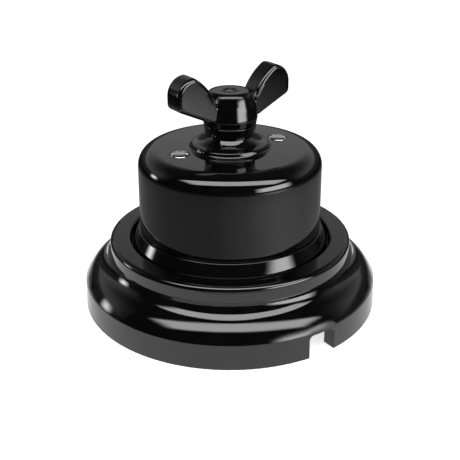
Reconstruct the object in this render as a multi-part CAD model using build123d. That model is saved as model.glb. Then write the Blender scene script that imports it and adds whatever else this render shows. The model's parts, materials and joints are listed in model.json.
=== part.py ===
from build123d import *
import os
from math import hypot

# Porcelain two-way rotary switch on a round surround, for a wall.
# Millimetres. The back face stands on Z = 0 and +Z points away from the wall.
# The cable notch points to -Y, and the knob's wings lie along X at rest.

# Surround
frame_radius = 50.0
frame_draft = 0.35
frame_wall = 4.8
frame_height = 22.8
foot_height = 8.4
foot_shoulder_edge = 0.3
crest_inset = 2.85
crest_rise = 4.2
crest_rounding = 9.0
cove_inset = 6.9
cove_rise = 6.6
cove_rounding = 7.0
shoulder_width = 7.9
shoulder_rise = 9.0
quirk_width = 0.9
quirk_rise = 0.2
quirk_edge = 0.2
upright_draft = 0.15
ring_edge = 1.5
mouth_edge = 0.8
recess_depth = 8.3
ledge_width = 6.4
ledge_thickness = 4.5
hollow_rounding = 4.0
foot_edge = 0.25
ledge_edge = 0.4
notch_width = 9.9
notch_height = 7.7
notch_rounding = 1.6

# Screws to the wall, in the installer's hands
wall_screw_pitch = 37.0
wall_screw_hole = 4.6
wall_screw_head = 9.0
wall_screw_sink = 1.0
wall_lug_width = 11.0

# Base of the switch, seated in the surround
base_radius = 32.9
base_gap = 1.0
base_side = 7.7
skirt_inset = 1.85
skirt_rise = 3.7
skirt_edge = 0.3
base_floor = 5.0
tray_wall = 2.2
tray_lip = 2.1
cover_gap = 0.3
pivot_boss_radius = 6.0
pivot_boss_height = 2.0

# Drum cover with its boss
cover_radius = 30.45
cover_draft = 0.25
cover_height = 27.5
cover_wall = 4.0
cover_top = 4.5
cover_shoulder = 5.7
cover_inner_shoulder = 3.0
boss_height = 7.9
boss_top_radius = 8.55
collar_radius = 8.25
collar_foot = 4.9
collar_rounding = 1.0
boss_neck_radius = 7.45
boss_neck_height = 4.1
boss_cove = 4.2
flare_radius = 9.0
flare_height = 1.95
ring_radius = 12.75
ring_draft = 0.2
ring_top = 1.65
ring_edge_rounding = 0.55
ring_foot_rounding = 1.1

# Line of the cover screws, and the screws
screw_line_angle = -6.8
screw_circle_radius = 18.05
cover_screw_radius = 2.0
cover_screw_head = 3.05
cover_screw_side = 0.5
cover_screw_dome = 1.05
cover_screw_recess = 3.3
cover_screw_sink = 0.5
cover_screw_slot = 0.8
cover_screw_slot_depth = 0.9
cover_screw_slot_turn = -28.0
cover_screw_end_lift = 3.0

# Posts that carry the bridge and take the cover screws
post_across = 6.0
lower_post_height = 20.3
post_stud_radius = 1.5
post_stud_up = 2.0
post_stud_foot_lift = 0.3
post_nut_across = 5.5
post_nut_height = 2.2
nut_pocket_radius = 3.7
nut_pocket_depth = 2.8
upper_post_gap = 0.3

# Bridge and bearing
bridge_width = 12.0
bridge_thickness = 2.0
bridge_overhang = 3.5
bush_radius = 4.5
bush_flange_radius = 6.3
bush_flange = 1.5
running_gap = 0.05

# Spindle
spindle_radius = 3.0
pivot_radius = 2.0
pivot_floor = 1.5
rotor_square = 5.0
knob_square = 4.2
square_gap = 0.05
bore_gap = 0.4
groove_depth = 0.5
washer_thickness = 0.5
clip_thickness = 0.7
clip_radius = 5.0
seat_gap = 0.05
washer_bore_gap = 0.1

# Rotor, contact plate and detent
rotor_radius = 9.0
rotor_height = 9.8
contact_plate = 0.8
contact_lift = 3.9
plate_inner_radius = 3.8
plate_ring_radius = 7.2
lobe_reach = 11.0
lobe_width = 7.0
lobe_angle = -45.0
peg_radius = 0.9
peg_circle_radius = 5.5
star_across = 10.6
star_corner_radius = 5.95
star_height = 3.2
thrust_thickness = 1.6
thrust_radius = 5.5
spring_thickness = 0.5
spring_width = 7.0
spring_gap = 0.1
spring_leg = 5.4
rivet_radius = 1.0
rivet_head_radius = 1.8
rivet_head = 0.6
rivet_offset = 9.0

# Terminals, 90 degrees apart round the rotor
terminal_circle_radius = 15.0
block_length = 7.0
block_width = 8.0
block_height = 9.0
wire_bore_radius = 1.7
wire_bore_height = 4.3
wire_bore_depth = 5.5
wire_hole_radius = 2.6
wire_hole_circle_radius = 21.0
clamp_screw_radius = 1.6
clamp_screw_head = 3.0
clamp_screw_head_height = 2.0
clamp_screw_lift = 0.6
clamp_screw_offset = 1.0
clamp_screw_slot = 0.7
clamp_screw_slot_depth = 0.8
block_screw_radius = 1.5
block_screw_head = 2.75
block_screw_head_height = 2.0
block_screw_bite = 1.8
block_screw_slot = 0.7
block_screw_slot_depth = 0.7
block_screw_offset = -1.8
block_pocket_radius = 3.2
block_pocket_depth = 2.6
strip_thickness = 0.6
strip_width = 6.0
strip_gap = 0.1
lobe_tip_radius = 7.7
ring_tip_radius = 5.0
ramp_start = 0.3
ramp_run = 1.1

# Knob
knob_gap = 0.3
hub_foot_radius = 8.6
hub_radius = 8.95
hub_belly_height = 1.9
hub_waist_radius = 8.35
hub_waist_height = 5.9
hub_height = 10.5
hub_top_radius = 6.9
hub_top_rounding = 1.5
wing_root_radius = 3.6
wing_reach = 21.3
wing_tip_radius = 6.1
wing_rise = 17.1
wing_thickness = 7.7
wing_edge = 1.2
wing_corner = 1.3
wing_heel = 2.0
wing_root_low = 1.6
wing_root_fall = 0.4
wing_root_rounding = 3.0
wing_neck_inset = 1.8
wing_neck_height = 7.2
wing_bulge = 1.15
wing_tip_low = 7.4
knob_bore_depth = 8.2
knob_screw_radius = 1.0
knob_screw_head = 1.5
knob_screw_head_height = 0.7
knob_screw_length = 6.0
knob_recess_radius = 1.75
knob_recess_depth = 1.0
knob_screw_slot = 0.45
knob_screw_slot_depth = 0.35

# Fit of screws and studs in their holes
thread_gap = 0.05
hole_gap = 0.15
tapped_rest = 0.5
blind_rest = 0.2

# Heights that follow from the sizes above
seat_z = frame_height - recess_depth
floor_z = seat_z + base_floor
rim_z = seat_z + base_side + skirt_rise
cover_z = rim_z + cover_height
ceiling_z = cover_z - cover_top
boss_z = cover_z + boss_height
hub_z = boss_z + knob_gap
hub_top_z = hub_z + hub_height
bridge_z = floor_z + lower_post_height
bridge_top_z = bridge_z + bridge_thickness
plate_z = floor_z + contact_lift
rotor_z = plate_z + contact_plate
star_z = rotor_z + rotor_height
square_top_z = star_z + star_height
web_z = bridge_z - spring_thickness
flange_z = bridge_top_z + bush_flange
washer_z = flange_z + seat_gap
clip_z = washer_z + washer_thickness + seat_gap
knob_bore_z = hub_z + knob_bore_depth
spindle_top_z = knob_bore_z - seat_gap
spindle_foot_z = seat_z + pivot_floor + seat_gap

# Radii that follow
mouth_radius = base_radius + base_gap
ledge_radius = mouth_radius - ledge_width
tray_radius = cover_radius - cover_wall - cover_gap
terminal_angles = {"common": 225.0, "one": 315.0, "two": 45.0}


def turned(*corners):
    """A turned form about Z, from corners given as radius, height and rounding."""
    points = [(radius, height) for radius, height, rounding in corners]
    roundings = [rounding for radius, height, rounding in corners]
    outline = FilletPolyline(*points, radius=roundings, close=True)
    return revolve(Plane.XZ * make_face(outline.edges()), Axis.Z)


def rod(radius, low, high):
    """An upright cylinder on the axis."""
    return Pos(0, 0, low) * extrude(Circle(radius), high - low)


def tube(outer, inner, low, high):
    """An upright tube or washer on the axis."""
    return Pos(0, 0, low) * extrude(Circle(outer) - Circle(inner), high - low)


def square_bar(across, low, high):
    """An upright square bar on the axis."""
    return Pos(0, 0, low) * extrude(Rectangle(across, across), high - low)


def hexagon_bar(across, low, high):
    """An upright hexagon bar on the axis, its size taken across the flats."""
    outline = RegularPolygon(across / 2, 6, major_radius=False)
    return Pos(0, 0, low) * extrude(outline, high - low)


def at_polar(radius, angle, solid):
    """A solid moved out along an angle and turned to face outwards."""
    return Rot(0, 0, angle) * Pos(radius, 0, 0) * solid


def along_bridge(radius, solid):
    """Two places on the line of the cover screws, one on each side."""
    return [at_polar(radius, screw_line_angle + turn, solid) for turn in (0, 180)]


def at_post(solid):
    """Both places of the cover screws."""
    return along_bridge(screw_circle_radius, solid)


def at_terminals(solid):
    """All places of the terminals."""
    return [Rot(0, 0, angle) * solid for angle in terminal_angles.values()]


def slot_cut(width, length, depth, face):
    """The screwdriver slot across the outer face of a head."""
    return Pos(0, 0, face - depth) * extrude(Rectangle(length, width), 2 * depth)


def make_surround_body():
    """The turned surround: foot wall, ogee shoulder, quirk, upright ring, recess and hollow."""
    foot_top = frame_radius - frame_draft
    shoulder_top = foot_top - shoulder_width
    shoulder_z = foot_height + shoulder_rise
    upright = shoulder_top - quirk_width
    ledge_z = seat_z - ledge_thickness
    inner = frame_radius - frame_wall
    return turned(
        (frame_radius, 0, foot_edge),
        (foot_top, foot_height, foot_shoulder_edge),
        (foot_top - crest_inset, foot_height + crest_rise, crest_rounding),
        (foot_top - cove_inset, foot_height + cove_rise, cove_rounding),
        (shoulder_top, shoulder_z, quirk_edge),
        (upright, shoulder_z + quirk_rise, quirk_edge),
        (upright - upright_draft, frame_height, ring_edge),
        (mouth_radius, frame_height, mouth_edge),
        (mouth_radius, seat_z, ledge_edge),
        (ledge_radius, seat_z, ledge_edge),
        (ledge_radius, ledge_z, ledge_edge),
        (inner, ledge_z, hollow_rounding),
        (inner, 0, foot_edge),
    )


def make_mounting_frame():
    """The surround, with the lugs that the wall screws pass and the cable notch."""
    body = make_surround_body()
    lug_reach = ledge_radius + ledge_width / 2
    screw_y = wall_screw_pitch / 2
    arm = Pos(0, (screw_y + lug_reach) / 2) * Rectangle(wall_lug_width, lug_reach - screw_y)
    lug = extrude(arm + Pos(0, screw_y) * Circle(wall_lug_width / 2), seat_z)
    hole = Pos(0, screw_y) * extrude(Circle(wall_screw_hole / 2), frame_height)
    for turn in (0, 180):
        body += Rot(0, 0, turn) * lug
        body -= Rot(0, 0, turn) * hole
    mouth = RectangleRounded(notch_width, 2 * notch_height, notch_rounding)
    notch = extrude(Plane.XZ * mouth, 2 * frame_wall)
    return body - Pos(0, -(frame_radius - 1.5 * frame_wall), 0) * notch


def make_switch_base():
    """The base: skirt, tray for the mechanism, pivot boss and all its holes."""
    base = turned(
        (0, seat_z, 0),
        (base_radius, seat_z, 0.6),
        (base_radius, rim_z - skirt_rise, skirt_edge),
        (base_radius - skirt_inset, rim_z, skirt_edge),
        (tray_radius, rim_z, 0.2),
        (tray_radius, rim_z + tray_lip, 0.4),
        (tray_radius - tray_wall, rim_z + tray_lip, 0.4),
        (tray_radius - tray_wall, floor_z, 0.8),
        (pivot_boss_radius, floor_z, 0.5),
        (pivot_boss_radius, floor_z + pivot_boss_height, 0.3),
        (0, floor_z + pivot_boss_height, 0),
    )
    base -= rod(pivot_radius + running_gap, seat_z + pivot_floor, rim_z)
    for angle in (90, 270):
        base -= at_polar(wall_screw_pitch / 2, angle, rod(wall_screw_hole / 2, 0, rim_z))
        sink = rod(wall_screw_head / 2, floor_z - wall_screw_sink, rim_z)
        base -= at_polar(wall_screw_pitch / 2, angle, sink)
    stud_hole = rod(post_stud_radius + hole_gap, 0, rim_z)
    stud_hole += rod(nut_pocket_radius, 0, seat_z + nut_pocket_depth)
    for place in at_post(stud_hole):
        base -= place
    screw_hole = rod(block_screw_radius + hole_gap, 0, floor_z)
    screw_hole += rod(block_pocket_radius, 0, seat_z + block_pocket_depth)
    holes = Pos(terminal_circle_radius + block_screw_offset, 0, 0) * screw_hole
    holes += Pos(wire_hole_circle_radius, 0, 0) * rod(wire_hole_radius, 0, floor_z)
    for place in at_terminals(holes):
        base -= place
    return base


def make_cover():
    """The drum cover and its boss, one moulded shell with two sunk screw holes."""
    bore = spindle_radius + bore_gap
    inner = cover_radius - cover_wall
    cover = turned(
        (inner, rim_z, 0.3),
        (cover_radius, rim_z, 0.4),
        (cover_radius - cover_draft, cover_z, cover_shoulder),
        (ring_radius, cover_z, ring_foot_rounding),
        (ring_radius - ring_draft, cover_z + ring_top, ring_edge_rounding),
        (flare_radius, cover_z + flare_height, boss_cove),
        (boss_neck_radius, cover_z + boss_neck_height, 0.15),
        (collar_radius, cover_z + collar_foot, collar_rounding),
        (boss_top_radius, boss_z, 0.25),
        (bore, boss_z, 0.3),
        (bore, ceiling_z, 0.3),
        (inner, ceiling_z, cover_inner_shoulder),
    )
    hole = rod(cover_screw_radius + hole_gap, ceiling_z - 1, cover_z)
    hole += rod(cover_screw_recess, cover_z - cover_screw_sink, cover_z + 1)
    for place in at_post(hole):
        cover -= place
    return cover


def wing_section():
    """Outline of one wing, a petal that rises outwards from the hub."""
    tip = (wing_reach - wing_tip_radius, hub_z + wing_rise - wing_tip_radius)
    crown = (tip[0], hub_z + wing_rise)
    root_low = (wing_root_radius, hub_z + wing_root_low - wing_root_fall)
    foot = (hub_radius, hub_z + wing_root_low)
    heel = (wing_reach, hub_z + wing_tip_low)
    neck = (hub_radius - wing_neck_inset, hub_z + wing_neck_height)
    chord = hypot(crown[0] - neck[0], crown[1] - neck[1])
    inward = wing_bulge * (crown[1] - neck[1]) / chord
    upward = wing_bulge * (crown[0] - neck[0]) / chord
    bulge = ((crown[0] + neck[0]) / 2 - inward, (crown[1] + neck[1]) / 2 + upward)
    low_side = [root_low, foot, heel, (wing_reach, tip[1])]
    outline = [
        FilletPolyline(*low_side, radius=[wing_root_rounding, wing_heel]),
        CenterArc(tip, wing_tip_radius, 0, 90),
        ThreePointArc(crown, bulge, neck),
        Polyline(neck, (wing_root_radius, neck[1]), root_low),
    ]
    edges = [edge for part in outline for edge in part.edges()]
    return make_face(edges)


def make_wing():
    """One wing as a thick plate with softened edges."""
    plate = extrude(Plane.XZ * wing_section(), wing_thickness / 2, both=True)
    crown_edge = plate.edges().filter_by(Axis.Y).sort_by(Axis.Z)[-1]
    plate = fillet(crown_edge, wing_corner)
    rims = plate.faces().filter_by(Plane.XZ).edges()
    return fillet(rims, wing_edge)


def make_hub():
    """The hub, a barrel that is widest near its foot and rounds over at the top."""
    return turned(
        (0, hub_z, 0),
        (hub_foot_radius, hub_z, 0.2),
        (hub_radius, hub_z + hub_belly_height, 2.5),
        (hub_waist_radius, hub_z + hub_waist_height, 10.0),
        (hub_top_radius, hub_top_z, hub_top_rounding),
        (0, hub_top_z, 0),
    )


def make_knob():
    """Hub and wings in one piece, with the square bore and the screw's recess."""
    wing = make_wing()
    knob = make_hub() + wing + Rot(0, 0, 180) * wing
    knob -= square_bar(knob_square + 2 * square_gap, hub_z - 1, knob_bore_z)
    knob -= rod(knob_screw_radius + hole_gap, hub_z, hub_top_z)
    return knob - rod(knob_recess_radius, hub_top_z - knob_recess_depth, hub_top_z + 1)


def make_knob_screw():
    """The small slotted screw that holds the knob on the spindle."""
    seat = hub_top_z - knob_recess_depth
    top = seat + knob_screw_head_height
    screw = rod(knob_screw_radius, spindle_top_z - knob_screw_length, seat)
    screw += rod(knob_screw_head, seat, top)
    return screw - slot_cut(knob_screw_slot, 2 * knob_screw_head + 1, knob_screw_slot_depth, top)


def make_cover_screw():
    """One cover screw: shank, domed head in its shallow recess, and its slot."""
    seat = cover_z - cover_screw_sink
    top = seat + cover_screw_side + cover_screw_dome
    dome_radius = (cover_screw_head**2 + cover_screw_dome**2) / (2 * cover_screw_dome)
    head = rod(cover_screw_head, seat, top) & Pos(0, 0, top - dome_radius) * Sphere(dome_radius)
    slot = slot_cut(cover_screw_slot, 2 * cover_screw_head + 1, cover_screw_slot_depth, top)
    head -= Rot(0, 0, cover_screw_slot_turn) * slot
    return head + rod(cover_screw_radius, bridge_top_z + cover_screw_end_lift, seat)


def make_lower_post():
    """A hexagon post with a stud down through the base and one up through the bridge."""
    post = hexagon_bar(post_across, floor_z, bridge_z)
    post += rod(post_stud_radius, seat_z + post_stud_foot_lift, floor_z)
    return post + rod(post_stud_radius, bridge_z, bridge_top_z + post_stud_up)


def make_upper_post():
    """A hexagon post that clamps the bridge and is tapped for the cover screw."""
    top = ceiling_z - upper_post_gap
    post = hexagon_bar(post_across, bridge_top_z, top)
    hole_low = bridge_top_z + cover_screw_end_lift - blind_rest
    post -= rod(post_stud_radius + thread_gap, bridge_top_z, bridge_top_z + post_stud_up + blind_rest)
    return post - rod(cover_screw_radius + thread_gap, hole_low, top)


def make_post_nut():
    """The nut on the lower stud, up in its pocket under the base."""
    low = seat_z + nut_pocket_depth - post_nut_height
    nut = hexagon_bar(post_nut_across, low, low + post_nut_height)
    return nut - rod(post_stud_radius + thread_gap, low, low + post_nut_height)


def make_bearing_bridge():
    """The bar across both posts, round-ended, bored for the bush, the studs and the rivets."""
    length = 2 * (screw_circle_radius + bridge_overhang)
    outline = RectangleRounded(length, bridge_width, bridge_width / 2 - 0.1)
    bar = Pos(0, 0, bridge_z) * extrude(outline, bridge_thickness)
    bar -= rod(bush_radius, bridge_z, bridge_top_z)
    for side in (-1, 1):
        stud = rod(post_stud_radius + hole_gap, bridge_z, bridge_top_z)
        bar -= Pos(side * screw_circle_radius, 0, 0) * stud
        bar -= Pos(side * rivet_offset, 0, 0) * rod(rivet_radius, bridge_z, bridge_top_z)
    return Rot(0, 0, screw_line_angle) * bar


def make_bridge_bush():
    """The flanged bush that the spindle turns in."""
    bore = spindle_radius + running_gap
    bush = tube(bush_radius, bore, bridge_z, bridge_top_z)
    return bush + tube(bush_flange_radius, bore, bridge_top_z, flange_z)


def make_detent_spring():
    """A strip riveted under the bridge, with a leg down each side of the star."""
    inner = star_corner_radius + spring_gap
    outer = inner + spring_thickness
    reach = 2 * (rivet_offset + rivet_head_radius + 0.4)
    web = Rectangle(spring_width, 2 * outer)
    web += Rot(0, 0, screw_line_angle) * Rectangle(reach, spring_width)
    web -= Circle(spindle_radius + bore_gap)
    spring = Pos(0, 0, web_z) * extrude(web, spring_thickness)
    leg_y = (inner + outer) / 2
    low = web_z + spring_thickness - spring_leg
    for side in (-1, 1):
        leg = Rectangle(spring_width, spring_thickness)
        spring += Pos(0, side * leg_y, low) * extrude(leg, spring_leg)
        hole = Pos(side * rivet_offset, 0, 0) * rod(rivet_radius, web_z, bridge_z)
        spring -= Rot(0, 0, screw_line_angle) * hole
    return spring


def make_spring_rivet():
    """A rivet through bridge and spring web, headed at both ends."""
    rivet = rod(rivet_radius, web_z, bridge_top_z)
    rivet += rod(rivet_head_radius, web_z - rivet_head, web_z)
    return rivet + rod(rivet_head_radius, bridge_top_z, bridge_top_z + rivet_head)


def make_spindle():
    """Pivot, rotor square, bearing length with clip groove, and knob square."""
    square_low = floor_z + pivot_boss_height + 0.3
    spindle = rod(pivot_radius, spindle_foot_z, square_low)
    spindle += square_bar(rotor_square, square_low, square_top_z)
    spindle += rod(spindle_radius, square_top_z, boss_z)
    spindle += square_bar(knob_square, boss_z, spindle_top_z)
    groove = tube(spindle_radius + 1, spindle_radius - groove_depth, clip_z, clip_z + clip_thickness)
    tapped_low = spindle_top_z - knob_screw_length - tapped_rest
    tapped = rod(knob_screw_radius + thread_gap, tapped_low, spindle_top_z)
    return spindle - groove - tapped


def make_ring(outer, low, thickness):
    """A washer that slips over the spindle."""
    return tube(outer, spindle_radius + washer_bore_gap, low, low + thickness)


def make_spindle_clip():
    """The open retaining clip in the spindle's groove."""
    inner = spindle_radius - groove_depth + 0.02
    clip = tube(clip_radius, inner, clip_z + 0.02, clip_z + clip_thickness - 0.02)
    mouth = Pos(clip_radius / 2, 0, clip_z) * extrude(Rectangle(clip_radius, 1.6 * inner), 1)
    return clip - mouth


def make_rotor():
    """The insulating barrel, with a square bore and two pegs for the contact plate."""
    rotor = turned(
        (0, rotor_z, 0),
        (rotor_radius, rotor_z, 0.4),
        (rotor_radius, star_z, 0.8),
        (0, star_z, 0),
    )
    for turn in (0, 180):
        rotor += at_polar(peg_circle_radius, lobe_angle + 90 + turn, rod(peg_radius, plate_z, rotor_z))
    return rotor - square_bar(rotor_square + 2 * square_gap, rotor_z, star_z)


def make_rotor_contact():
    """The contact plate: a ring that always feeds, and two lobes that switch."""
    plate = Circle(plate_ring_radius) + Rectangle(2 * lobe_reach, lobe_width)
    plate &= Circle(lobe_reach)
    plate -= Circle(plate_inner_radius)
    solid = Pos(0, 0, plate_z) * extrude(plate, contact_plate)
    for turn in (90, 270):
        hole = rod(peg_radius + thread_gap, plate_z, rotor_z)
        solid -= at_polar(peg_circle_radius, turn, hole)
    return Rot(0, 0, lobe_angle) * solid


def make_detent_star():
    """The square cam with rounded corners, on the spindle's square."""
    outline = Rectangle(star_across, star_across) & Circle(star_corner_radius)
    outline -= Rectangle(rotor_square + 2 * square_gap, rotor_square + 2 * square_gap)
    return Pos(0, 0, star_z) * extrude(outline, star_height)


def make_terminal():
    """A terminal block on the +X side, bored for the wire and its two screws."""
    block = Box(block_length, block_width, block_height, align=(Align.CENTER, Align.CENTER, Align.MIN))
    block = chamfer(block.edges().filter_by(Axis.Z), 0.5)
    block = Pos(terminal_circle_radius, 0, floor_z + strip_thickness) * block
    wire_z = floor_z + strip_thickness + wire_bore_height
    face_x = terminal_circle_radius + block_length / 2
    wire = Rot(0, -90, 0) * extrude(Circle(wire_bore_radius), wire_bore_depth)
    block -= Pos(face_x, 0, wire_z) * wire
    clamp = rod(clamp_screw_radius + thread_gap, wire_z, wire_z + block_height)
    block -= Pos(terminal_circle_radius + clamp_screw_offset, 0, 0) * clamp
    fixing = rod(block_screw_radius + thread_gap, floor_z, floor_z + strip_thickness + block_screw_bite)
    return block - Pos(terminal_circle_radius + block_screw_offset, 0, 0) * fixing


def make_contact(tip_radius):
    """A spring strip: foot clamped under the block, ramp, and tip under the contact plate."""
    tip_top = plate_z - strip_gap
    foot_out = terminal_circle_radius + block_length / 2
    bend = terminal_circle_radius - block_length / 2 - ramp_start
    crest = bend - ramp_run
    rise = tip_top - strip_thickness - floor_z
    shift = strip_thickness * ramp_run / hypot(ramp_run, rise)
    section = Polyline(
        (foot_out, floor_z),
        (bend, floor_z),
        (crest, tip_top - strip_thickness),
        (tip_radius, tip_top - strip_thickness),
        (tip_radius, tip_top),
        (crest + shift, tip_top),
        (bend + shift, floor_z + strip_thickness),
        (foot_out, floor_z + strip_thickness),
        close=True,
    )
    strip = extrude(Plane.XZ * make_face(section.edges()), strip_width / 2, both=True)
    hole = rod(block_screw_radius + hole_gap, floor_z, floor_z + strip_thickness)
    return strip - Pos(terminal_circle_radius + block_screw_offset, 0, 0) * hole


def make_terminal_screw():
    """The screw that clamps the wire in a terminal block."""
    block_top = floor_z + strip_thickness + block_height
    head_low = block_top + clamp_screw_lift
    top = head_low + clamp_screw_head_height
    screw = rod(clamp_screw_radius, floor_z + strip_thickness + wire_bore_height + 1.2, head_low)
    screw += rod(clamp_screw_head, head_low, top)
    screw -= slot_cut(clamp_screw_slot, 2 * clamp_screw_head + 1, clamp_screw_slot_depth, top)
    return Pos(terminal_circle_radius + clamp_screw_offset, 0, 0) * screw


def make_block_screw():
    """The screw that holds a terminal block from the base's underside."""
    seat = seat_z + block_pocket_depth
    head_low = seat - block_screw_head_height
    screw = rod(block_screw_radius, seat, floor_z + strip_thickness + block_screw_bite - 0.2)
    screw += rod(block_screw_head, head_low, seat)
    slot = slot_cut(block_screw_slot, 2 * block_screw_head + 1, block_screw_slot_depth, head_low)
    return Pos(terminal_circle_radius + block_screw_offset, 0, 0) * (screw - slot)


def all_nodes():
    """Every node of the switch by name, each as a list of solids."""
    nodes = {
        "mounting_frame": [make_mounting_frame()],
        "switch_base": [make_switch_base()],
        "cover": [make_cover()],
        "cover_screws": at_post(make_cover_screw()),
        "knob": [make_knob()],
        "knob_screw": [make_knob_screw()],
        "spindle": [make_spindle()],
        "spindle_washer": [make_ring(clip_radius, washer_z, washer_thickness)],
        "spindle_clip": [make_spindle_clip()],
        "thrust_washer": [make_ring(thrust_radius, square_top_z, thrust_thickness)],
        "rotor": [make_rotor()],
        "rotor_contact": [make_rotor_contact()],
        "detent_star": [make_detent_star()],
        "detent_spring": [make_detent_spring()],
        "spring_rivets": along_bridge(rivet_offset, make_spring_rivet()),
        "bearing_bridge": [make_bearing_bridge()],
        "bridge_bush": [make_bridge_bush()],
        "lower_posts": at_post(make_lower_post()),
        "upper_posts": at_post(make_upper_post()),
        "post_nuts": at_post(make_post_nut()),
        "terminal_screws": at_terminals(make_terminal_screw()),
        "block_screws": at_terminals(make_block_screw()),
    }
    for name, angle in terminal_angles.items():
        tip = ring_tip_radius if name == "common" else lobe_tip_radius
        nodes["terminal_" + name] = [Rot(0, 0, angle) * make_terminal()]
        nodes["contact_" + name] = [Rot(0, 0, angle) * make_contact(tip)]
    return nodes


os.makedirs("parts", exist_ok=True)
for node, solids in all_nodes().items():
    pieces = [solid for shape in solids for solid in shape.solids()]
    shape = pieces[0] if len(pieces) == 1 else Compound(children=pieces)
    export_step(shape, os.path.join("parts", node + ".step"))
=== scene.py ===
import bpy
import json
from math import cos, pi, radians, sin
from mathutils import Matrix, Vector

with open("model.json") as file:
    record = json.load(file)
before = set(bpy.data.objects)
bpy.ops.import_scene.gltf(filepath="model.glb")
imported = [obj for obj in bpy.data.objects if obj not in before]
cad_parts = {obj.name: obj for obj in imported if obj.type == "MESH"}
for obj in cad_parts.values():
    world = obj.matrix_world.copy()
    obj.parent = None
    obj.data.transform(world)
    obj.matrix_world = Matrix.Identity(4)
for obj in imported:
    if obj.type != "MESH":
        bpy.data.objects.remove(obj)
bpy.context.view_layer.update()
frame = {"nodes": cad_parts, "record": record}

nodes = frame["nodes"]

# Camera, as seen from the front left of the knob. Metres and degrees.
VIEW_AZIMUTH = radians(34.8)
VIEW_DISTANCE = 0.2505
VIEW_HEIGHT = 0.1397
VIEW_PITCH = radians(25.0)
FOCAL_TO_WIDTH = 806.2 / 460
SENSOR_MM = 36.0
SHIFT_X = 0.06 / 460
SHIFT_Y = 0.5 / 460

# Softboxes, in the camera's own axes: X to the right, Y away from the camera.
# A fade is the width over which a softbox grows dim towards its edge.
OVERHEAD_HEIGHT = 0.62
OVERHEAD_PLACE = (0.14, -0.354)
OVERHEAD_SIZE = (1.80, 0.376)
OVERHEAD_FADE = (0.30, 0.028)
OVERHEAD_RADIANCE = 5.2
SIDE_DISTANCE = 0.70
SIDE_AZIMUTH = -37.0
SIDE_HEIGHT = 0.15
SIDE_SIZE = (0.70, 0.31)
SIDE_FADE = (0.20, 0.05)
SIDE_RADIANCE = 6.6
FILL_DISTANCE = 0.70
FILL_AZIMUTH = 168.0
FILL_HEIGHT = 0.10
FILL_SIZE = (0.21, 0.22)
FILL_FADE = (0.105, 0.11)
FILL_RADIANCE = 9.0

# The room, as gloss mirrors it: strength by the sine of the height, times strength
# by the way from the camera's side at 0 to the far side at 1.
ROOM_LIGHT = 0.60
ROOM_BY_HEIGHT = ((0.0, 0.04), (0.20, 0.08), (0.29, 0.46), (0.35, 0.40),
                  (0.45, 0.32), (0.58, 0.14), (0.72, 0.02))
ROOM_BY_WAY = ((0.0, 0.012), (0.45, 0.02), (0.62, 1.0))

# The floor, and the painted reflection that only gloss sees on it, a glow that no lamp casts:
# a painted bright ring at the foot, a painted patch of light under the side softbox, and the
# rest by distance and by way, from the side opposite that softbox at 0 to the softbox at 1.
# The far side of the floor is painted brighter too. Distances in metres.
FLOOR_HALF = 4.0
FLOOR_COLOUR = (0.45, 0.45, 0.45, 1.0)
FLOOR_LIFT = 0.76
# Painted shade under the frame, then a painted bright ring at the foot
PAINTED_FOOT_RING = ((0.046, 0.15), (0.050, 1.0), (0.0825, 1.0), (0.0842, 0.0))
PATCH_BY_DISTANCE = ((0.130, 0.0), (0.190, 0.90), (0.240, 0.80), (0.306, 0.33), (0.330, 0.05))
PATCH_NARROWNESS = 22.0
PATCH_STRENGTH = 2.0
FLOOR_BY_DISTANCE = ((0.130, 1.0), (0.200, 0.25), (0.300, 0.05))
FLOOR_BY_SIDE = ((0.67, 0.225), (0.80, 0.33), (0.91, 0.43), (0.98, 0.64), (1.0, 0.75))
FLOOR_FAR_SIDE = ((0.82, 0.0), (0.94, 0.72))

# Edges that the glaze or polish softens: radius, and the heights between which it does
FOOT_WALL_EDGE = (0.0032, 0.0084, 0.0135)
HUB_TOP_EDGE = (0.0022, 0.0695, 0.0730)
SCREW_HEAD_EDGE = (0.0005, 0.0500, 0.0537)
BEVEL_SAMPLES = 12

# The top of a low domed head: upward slope at which its lean begins and is full
HEAD_LEAN_BEGINS = 0.82
HEAD_LEAN_FULL = 0.92

# Unevenness of colour and roughness
STREAKS_FINER = 4.0
CLOUD_ENDS = (0.30, 0.70)
STREAK_ENDS = (0.30, 0.72)

# Sockets of a vector mix, which share their names with those of other kinds
MIX_FIRST = 4
MIX_SECOND = 5
MIX_RESULT = 1


# Places and directions

def turned_to_view(x, y, z=0.0):
    """A vector given in the camera's axes, in the object's axes."""
    c, s = cos(-VIEW_AZIMUTH), sin(-VIEW_AZIMUTH)
    return Vector((x * c - y * s, x * s + y * c, z))


def round_the_object(distance, azimuth, height):
    """A place given by distance and azimuth in the camera's axes."""
    turn = radians(azimuth)
    return turned_to_view(distance * cos(turn), distance * sin(turn), height)


def link(obj):
    bpy.context.scene.collection.objects.link(obj)
    return obj


def make_camera():
    data = bpy.data.cameras.new("camera")
    data.sensor_width = SENSOR_MM
    data.lens = FOCAL_TO_WIDTH * SENSOR_MM
    data.shift_x = SHIFT_X
    data.shift_y = SHIFT_Y
    data.clip_start = 0.01
    data.clip_end = 50.0
    camera = link(bpy.data.objects.new("camera", data))
    camera.location = turned_to_view(0.0, -VIEW_DISTANCE, VIEW_HEIGHT)
    aim = turned_to_view(0.0, cos(VIEW_PITCH), -sin(VIEW_PITCH))
    camera.rotation_euler = aim.to_track_quat("-Z", "Y").to_euler()
    bpy.context.scene.camera = camera


# Node helpers

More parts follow.
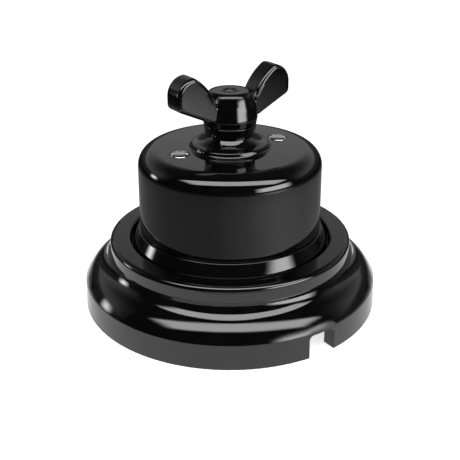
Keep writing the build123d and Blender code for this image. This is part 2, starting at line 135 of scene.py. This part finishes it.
class Tree:
    """Short ways to add and join shader nodes."""

    def __init__(self, tree):
        self.tree = tree
        tree.nodes.clear()

    def add(self, kind, **settings):
        node = self.tree.nodes.new(kind)
        for key, value in settings.items():
            setattr(node, key, value)
        return node

    def join(self, source, target):
        self.tree.links.new(source, target)

    def fill(self, socket, value):
        """Joins an output to the socket, or sets the socket to a constant."""
        if isinstance(value, bpy.types.NodeSocket):
            self.join(value, socket)
        else:
            socket.default_value = value

    def feed(self, node, **inputs):
        """Fills inputs by name, with spaces written as underscores."""
        for key, value in inputs.items():
            self.fill(node.inputs[key.replace("_", " ")], value)
        return node

    def math(self, operation, *values):
        node = self.add("ShaderNodeMath", operation=operation)
        for socket, value in zip(node.inputs, values):
            self.fill(socket, value)
        return node.outputs[0]

    def vector(self, operation, *values):
        node = self.add("ShaderNodeVectorMath", operation=operation)
        for socket, value in zip(node.inputs, values):
            self.fill(socket, value)
        return node.outputs

    def axes(self, vector):
        node = self.add("ShaderNodeSeparateXYZ")
        self.join(vector, node.inputs[0])
        return node.outputs

    def halved(self, value):
        """A value from -1 to 1 brought to 0 to 1."""
        return self.math("MULTIPLY_ADD", value, 0.5, 0.5)

    def ramp(self, factor, stops):
        """A colour ramp from stops given as place and colour or grey."""
        node = self.add("ShaderNodeValToRGB")
        elements = node.color_ramp.elements
        while len(elements) < len(stops):
            elements.new(0.5)
        for element, (place, colour) in zip(elements, stops):
            element.position = place
            element.color = (colour,) * 3 + (1,) if isinstance(colour, float) else (*colour, 1)
        self.join(factor, node.inputs[0])
        return node.outputs[0]

    def noise(self, where, scale, detail=3.0, roughness=0.5):
        node = self.add("ShaderNodeTexNoise")
        self.feed(node, Vector=where, Scale=scale, Detail=detail, Roughness=roughness)
        return node.outputs[0]

    def mix_vectors(self, share, first, second):
        node = self.add("ShaderNodeMix", data_type="VECTOR")
        self.join(share, node.inputs[0])
        self.fill(node.inputs[MIX_FIRST], first)
        self.fill(node.inputs[MIX_SECOND], second)
        return node.outputs[MIX_RESULT]

    def choose(self, switch, off, on):
        """The first shader, or the second where the switch is 1."""
        node = self.add("ShaderNodeMixShader")
        for socket, value in zip(node.inputs, (switch, off, on)):
            self.join(value, socket)
        return node.outputs[0]

    def glow(self, strength):
        node = self.feed(self.add("ShaderNodeEmission"), Color=(1, 1, 1, 1), Strength=strength)
        return node.outputs[0]


# Lamps

def fade_edges(data, fades):
    """Lets a softbox grow dim towards its edges, over a width in metres on each axis."""
    data.use_nodes = True
    t = Tree(data.node_tree)
    axes = t.axes(t.add("ShaderNodeNewGeometry").outputs["Parametric"])
    strength = 1.0
    for axis, length, fade in zip("XY", (data.size, data.size_y), fades):
        inset = t.math("MINIMUM", axes[axis], t.math("SUBTRACT", 1.0, axes[axis]))
        edge = t.add("ShaderNodeMapRange", interpolation_type="SMOOTHSTEP")
        edge.inputs["From Max"].default_value = fade / length
        t.join(inset, edge.inputs["Value"])
        strength = t.math("MULTIPLY", strength, edge.outputs["Result"])
    t.join(t.glow(strength), t.add("ShaderNodeOutputLight").inputs[0])


def make_softbox(name, place, size, fades, radiance):
    """A softbox at a place, which faces down until it is aimed."""
    data = bpy.data.lights.new(name, "AREA")
    data.shape = "RECTANGLE"
    data.size, data.size_y = size
    data.energy = radiance * pi * size[0] * size[1]
    fade_edges(data, fades)
    lamp = link(bpy.data.objects.new(name, data))
    lamp.location = place
    return lamp


def aim_level(lamp):
    """Turns a lamp to the object's axis, level with the lamp."""
    target = Vector((0, 0, lamp.location.z))
    lamp.rotation_euler = (target - lamp.location).to_track_quat("-Z", "Y").to_euler()


def make_lamps():
    place = turned_to_view(*OVERHEAD_PLACE, OVERHEAD_HEIGHT)
    overhead = make_softbox("overhead_softbox", place, OVERHEAD_SIZE, OVERHEAD_FADE, OVERHEAD_RADIANCE)
    overhead.rotation_euler.z = -VIEW_AZIMUTH
    place = round_the_object(SIDE_DISTANCE, SIDE_AZIMUTH, SIDE_HEIGHT)
    aim_level(make_softbox("side_softbox", place, SIDE_SIZE, SIDE_FADE, SIDE_RADIANCE))
    place = round_the_object(FILL_DISTANCE, FILL_AZIMUTH, FILL_HEIGHT)
    aim_level(make_softbox("fill_light", place, FILL_SIZE, FILL_FADE, FILL_RADIANCE))


# Surroundings

def make_world():
    """White to the eye, a plain room light on surfaces, and a shaped room in gloss."""
    world = bpy.data.worlds.new("studio")
    world.use_nodes = True
    bpy.context.scene.world = world
    t = Tree(world.node_tree)
    way = t.add("ShaderNodeTexCoord").outputs["Generated"]
    away = t.vector("DOT_PRODUCT", way, turned_to_view(0, 1))["Value"]
    height = t.ramp(t.axes(way)["Z"], ROOM_BY_HEIGHT)
    mirrored = t.math("MULTIPLY", height, t.ramp(t.halved(away), ROOM_BY_WAY))
    rays = t.add("ShaderNodeLightPath").outputs
    seen = t.math("MAXIMUM", rays["Is Camera Ray"], rays["Is Transmission Ray"])
    glossy = t.math("MULTIPLY", rays["Is Glossy Ray"], mirrored)
    rest = t.math("SUBTRACT", 1.0, t.math("MAXIMUM", seen, rays["Is Glossy Ray"]))
    ambient = t.math("MULTIPLY", rest, ROOM_LIGHT)
    strength = t.math("ADD", seen, t.math("ADD", glossy, ambient))
    background = t.feed(t.add("ShaderNodeBackground"), Color=(1, 1, 1, 1), Strength=strength)
    t.join(background.outputs[0], t.add("ShaderNodeOutputWorld").inputs[0])


def painted_floor_reflection(t):
    """The strength of the painted reflection on the floor, a glow that only gloss sees."""
    place = t.add("ShaderNodeNewGeometry").outputs["Position"]
    distance = t.vector("LENGTH", place)["Value"]
    way = t.vector("NORMALIZE", place)["Vector"]
    side = t.vector("DOT_PRODUCT", way, round_the_object(1.0, SIDE_AZIMUTH, 0.0))["Value"]
    away = t.vector("DOT_PRODUCT", way, turned_to_view(0, 1))["Value"]
    # A painted patch of light, where the side softbox would light the floor
    beam = t.math("POWER", t.math("MAXIMUM", side, 0.0), PATCH_NARROWNESS)
    patch = t.math("MULTIPLY", t.math("MULTIPLY", beam, t.ramp(distance, PATCH_BY_DISTANCE)), PATCH_STRENGTH)
    by_way = t.math("MAXIMUM", t.ramp(t.halved(side), FLOOR_BY_SIDE), t.ramp(away, FLOOR_FAR_SIDE))
    rest = t.math("MULTIPLY", by_way, t.ramp(distance, FLOOR_BY_DISTANCE))
    # Painted shade under the frame and a painted bright ring, a painted patch, and painted falloff beyond
    return t.math("MAXIMUM", t.math("MAXIMUM", t.ramp(distance, PAINTED_FOOT_RING), patch), rest)


def floor_material():
    """A pale matt floor, lifted to white to the eye, with a painted reflection that glows in gloss."""
    material = bpy.data.materials.new("pale_floor")
    material.use_nodes = True
    t = Tree(material.node_tree)
    rays = t.add("ShaderNodeLightPath").outputs
    matt = t.feed(t.add("ShaderNodeBsdfDiffuse"), Color=FLOOR_COLOUR).outputs[0]
    lifted = t.add("ShaderNodeAddShader")
    t.join(matt, lifted.inputs[0])
    t.join(t.glow(FLOOR_LIFT), lifted.inputs[1])
    seen = t.choose(rays["Is Camera Ray"], matt, lifted.outputs[0])
    # Gloss sees only the painted glow, not the lit floor
    final = t.choose(rays["Is Glossy Ray"], seen, t.glow(painted_floor_reflection(t)))
    t.join(final, t.add("ShaderNodeOutputMaterial").inputs[0])
    return material


def make_floor():
    mesh = bpy.data.meshes.new("floor")
    h = FLOOR_HALF
    mesh.from_pydata([(-h, -h, 0), (h, -h, 0), (h, h, 0), (-h, h, 0)], [], [(0, 1, 2, 3)])
    floor = link(bpy.data.objects.new("floor", mesh))
    floor.data.materials.append(floor_material())


# Materials

def softened_normal(t, radius, low, high):
    """The normal, rounded at the edges that lie between two heights."""
    place = t.add("ShaderNodeNewGeometry").outputs
    height = t.axes(place["Position"])["Z"]
    inside = t.math("MULTIPLY", t.math("GREATER_THAN", height, low), t.math("LESS_THAN", height, high))
    bevel = t.feed(t.add("ShaderNodeBevel", samples=BEVEL_SAMPLES), Radius=radius)
    return t.mix_vectors(inside, place["Normal"], bevel.outputs[0])


def leaned_normal(t, normal, share):
    """The normal leant towards upright by a share, on the top of a domed head."""
    stops = ((HEAD_LEAN_BEGINS, 0.0), (HEAD_LEAN_FULL, share))
    top = t.ramp(t.axes(normal)["Z"], stops)
    return t.vector("NORMALIZE", t.mix_vectors(top, normal, (0.0, 0.0, 1.0)))["Vector"]


def surface(name, colours, rough, metallic=0.0, ior=1.5, bumps=(), scale=120.0, soft_edge=None, lean=0.0):
    """A Principled surface with colour and roughness from noise, and layers of bump."""
    material = bpy.data.materials.new(name)
    material.use_nodes = True
    t = Tree(material.node_tree)
    where = t.add("ShaderNodeTexCoord").outputs["Object"]
    cloud = t.noise(where, scale)
    streaks = t.noise(where, scale * STREAKS_FINER, detail=4.0, roughness=0.6)
    shader = t.add("ShaderNodeBsdfPrincipled")
    t.feed(shader, Base_Color=t.ramp(cloud, tuple(zip(CLOUD_ENDS, colours))))
    t.feed(shader, Roughness=t.ramp(streaks, tuple(zip(STREAK_ENDS, rough))))
    shader.inputs["Metallic"].default_value = metallic
    shader.inputs["IOR"].default_value = ior
    normal = softened_normal(t, *soft_edge) if soft_edge else None
    if lean:
        normal = leaned_normal(t, normal, lean)
    for bump_scale, distance in bumps:
        bump = t.add("ShaderNodeBump")
        t.feed(bump, Height=t.noise(where, bump_scale, detail=2.0), Distance=distance, Strength=1.0)
        if normal:
            t.join(normal, bump.inputs["Normal"])
        normal = bump.outputs[0]
    if normal:
        t.join(normal, shader.inputs["Normal"])
    t.join(shader.outputs[0], t.add("ShaderNodeOutputMaterial").inputs[0])
    return material


def material_settings():
    """Colours, roughness, bumps and scale of each material slot of the frame."""
    glaze = dict(rough=(0.02, 0.05), ior=1.64, bumps=((45.0, 0.00006), (700.0, 0.0000012)))
    metal = dict(metallic=1.0)
    return {
        "glazed_porcelain": dict(colours=((0.0012, 0.0012, 0.0013), (0.0022, 0.0021, 0.0020)),
                                 soft_edge=FOOT_WALL_EDGE, **glaze),
        "glazed_base": dict(colours=((0.0013, 0.0013, 0.0014), (0.0024, 0.0022, 0.0021)), **glaze),
        "glazed_cover": dict(colours=((0.0011, 0.0012, 0.0013), (0.0021, 0.0020, 0.0019)), **glaze),
        "glazed_knob": dict(colours=((0.0012, 0.0012, 0.0014), (0.0022, 0.0021, 0.0020)),
                            soft_edge=HUB_TOP_EDGE, **glaze),
        "chrome_screws": dict(colours=((0.72, 0.73, 0.75), (0.80, 0.80, 0.81)), rough=(0.10, 0.22),
                              bumps=((2600.0, 0.000006),), scale=500.0,
                              soft_edge=SCREW_HEAD_EDGE, lean=0.90, **metal),
        "brass": dict(colours=((0.62, 0.43, 0.17), (0.76, 0.57, 0.27)), rough=(0.20, 0.38),
                      bumps=((1800.0, 0.000008),), scale=300.0, **metal),
        "contact_bronze": dict(colours=((0.60, 0.36, 0.20), (0.74, 0.50, 0.30)), rough=(0.22, 0.40),
                               bumps=((1500.0, 0.000008),), scale=260.0, **metal),
        "zinc_steel": dict(colours=((0.52, 0.53, 0.52), (0.68, 0.68, 0.66)), rough=(0.26, 0.44),
                           bumps=((1600.0, 0.000010),), scale=300.0, **metal),
        "spring_steel": dict(colours=((0.32, 0.34, 0.40), (0.48, 0.48, 0.50)), rough=(0.22, 0.36),
                             bumps=((2000.0, 0.000006),), scale=260.0, **metal),
        "moulding": dict(colours=((0.070, 0.035, 0.020), (0.115, 0.062, 0.034)), rough=(0.34, 0.52),
                         bumps=((1200.0, 0.000012),), scale=420.0),
        "fibre": dict(colours=((0.24, 0.075, 0.045), (0.36, 0.13, 0.08)), rough=(0.55, 0.75),
                      bumps=((2200.0, 0.000020),), scale=700.0),
    }


def dress_nodes():
    """Gives every piece of the frame the material of its slot."""
    materials = {name: surface(name, **settings) for name, settings in material_settings().items()}
    for entry in frame["record"]["subparts"]:
        mesh = nodes[entry["node"]].data
        mesh.materials.clear()
        mesh.materials.append(materials[entry["material_slot"]])


make_camera()
make_world()
make_floor()
make_lamps()
dress_nodes()

bpy.context.scene.view_settings.view_transform = "Standard"
